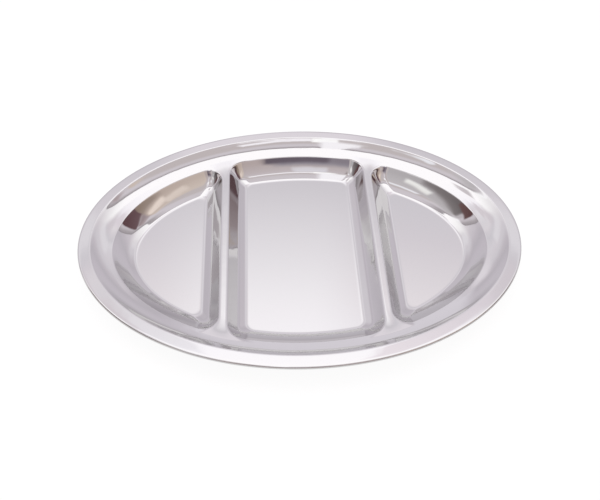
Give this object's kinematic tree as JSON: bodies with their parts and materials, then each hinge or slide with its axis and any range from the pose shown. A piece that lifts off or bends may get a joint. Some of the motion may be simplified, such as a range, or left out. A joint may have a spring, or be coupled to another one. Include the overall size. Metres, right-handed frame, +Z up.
{
  "type": "divided compartment plate",
  "caption": "Oval serving plate of polished stainless steel with pressed wells, straight dividers, a raised rim and a rolled edge.",
  "frame": {"origin": "middle of the plate, on the surface that its well floors stand on", "axes": "+X along the plate's long axis, +Y across it away from the diner, +Z up"},
  "size_m": [0.35, 0.246, 0.0215],
  "materials": {
    "polished_steel": "mirror polished stainless steel sheet with fine scuffs",
    "steel_wire": "drawn bright steel wire"
  },
  "bodies": {
    "root": {"pressed_plate": "polished_steel", "rim_wire": "steel_wire"}
  },
  "joints": []
}
